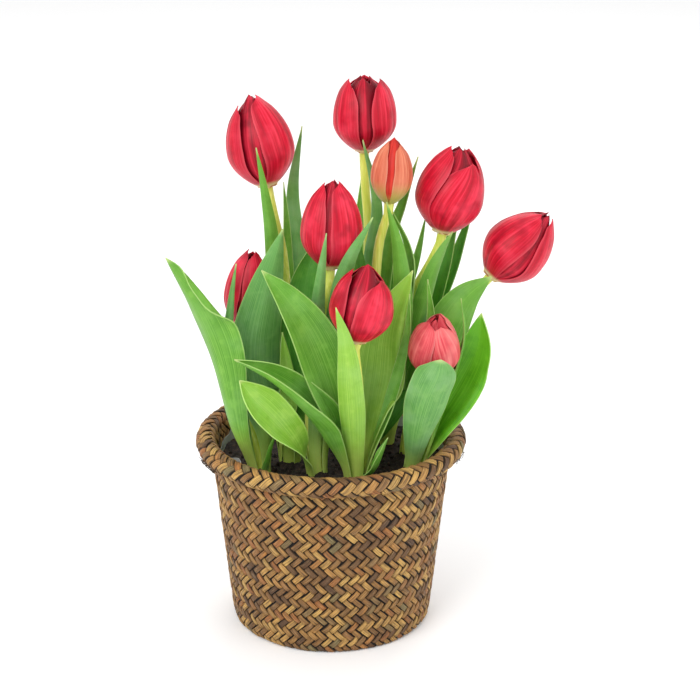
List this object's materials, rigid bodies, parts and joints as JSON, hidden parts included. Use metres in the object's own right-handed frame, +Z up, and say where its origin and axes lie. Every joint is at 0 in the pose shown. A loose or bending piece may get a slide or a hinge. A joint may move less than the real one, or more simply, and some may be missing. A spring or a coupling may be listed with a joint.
{
  "type": "potted tulip",
  "caption": "Red tulips growing from bulbs in soil inside a film-lined round basket of plaited rush, free-standing, for a table or window sill.",
  "frame": {"origin": "centre of the basket's flat underside", "axes": "+Z up; -Y is the side shown to a viewer, with the nodding bloom at +X"},
  "size_m": [0.2488, 0.1798, 0.363],
  "materials": {
    "rush": "plaited dried rush leaf, twill weave, matt to satin",
    "liner_film": "thin grey polythene film, slightly glossy",
    "soil": "moist dark potting soil, crumbly and matt",
    "bulb_tunic": "papery brown bulb skin",
    "stem": "smooth waxy yellow-green stem",
    "leaf": "waxy leaf with lengthwise veins and a pale margin",
    "petal_red": "satin red petal with fine lengthwise streaks",
    "petal_coral": "unripe coral petal with a green flush at its foot"
  },
  "bodies": {
    "root": {"basket": "rush", "bloom_back_bud": "petal_coral", "bloom_back_tall": "petal_red", "bloom_centre": "petal_red", "bloom_front": "petal_red", "bloom_left_low": "petal_red", "bloom_left_tall": "petal_red", "bloom_right_bud": "petal_coral", "bloom_right_nodding": "petal_red", "bloom_right_tall": "petal_red", "bulb_back_bud": "bulb_tunic", "bulb_back_tall": "bulb_tunic", "bulb_centre": "bulb_tunic", "bulb_front": "bulb_tunic", "bulb_left_low": "bulb_tunic", "bulb_left_tall": "bulb_tunic", "bulb_right_bud": "bulb_tunic", "bulb_right_nodding": "bulb_tunic", "bulb_right_tall": "bulb_tunic", "leaf_back_bud_behind": "leaf", "leaf_back_bud_front": "leaf", "leaf_back_bud_low": "leaf", "leaf_back_bud_right": "leaf", "leaf_back_tall_behind": "leaf", "leaf_back_tall_front": "leaf", "leaf_back_tall_low": "leaf", "leaf_back_tall_right": "leaf", "leaf_centre_back": "leaf", "leaf_centre_front": "leaf", "leaf_centre_low": "leaf", "leaf_centre_right": "leaf", "leaf_front_back_left": "leaf", "leaf_front_low_left": "leaf", "leaf_front_narrow": "leaf", "leaf_front_right": "leaf", "leaf_front_sprout": "leaf", "leaf_left_low_broad": "leaf", "leaf_left_low_front": "leaf", "leaf_left_low_outer": "leaf", "leaf_left_tall_front": "leaf", "leaf_left_tall_low": "leaf", "leaf_left_tall_right": "leaf", "leaf_right_bud_back": "leaf", "leaf_right_bud_front": "leaf", "leaf_right_nodding_broad": "leaf", "leaf_right_tall_behind": "leaf", "leaf_right_tall_front": "leaf", "leaf_right_tall_left": "leaf", "leaf_right_tall_right": "leaf", "liner": "liner_film", "soil": "soil", "stem_back_bud": "stem", "stem_back_tall": "stem", "stem_centre": "stem", "stem_front": "stem", "stem_left_low": "stem", "stem_left_tall": "stem", "stem_right_bud": "stem", "stem_right_nodding": "stem", "stem_right_tall": "stem"}
  },
  "joints": []
}
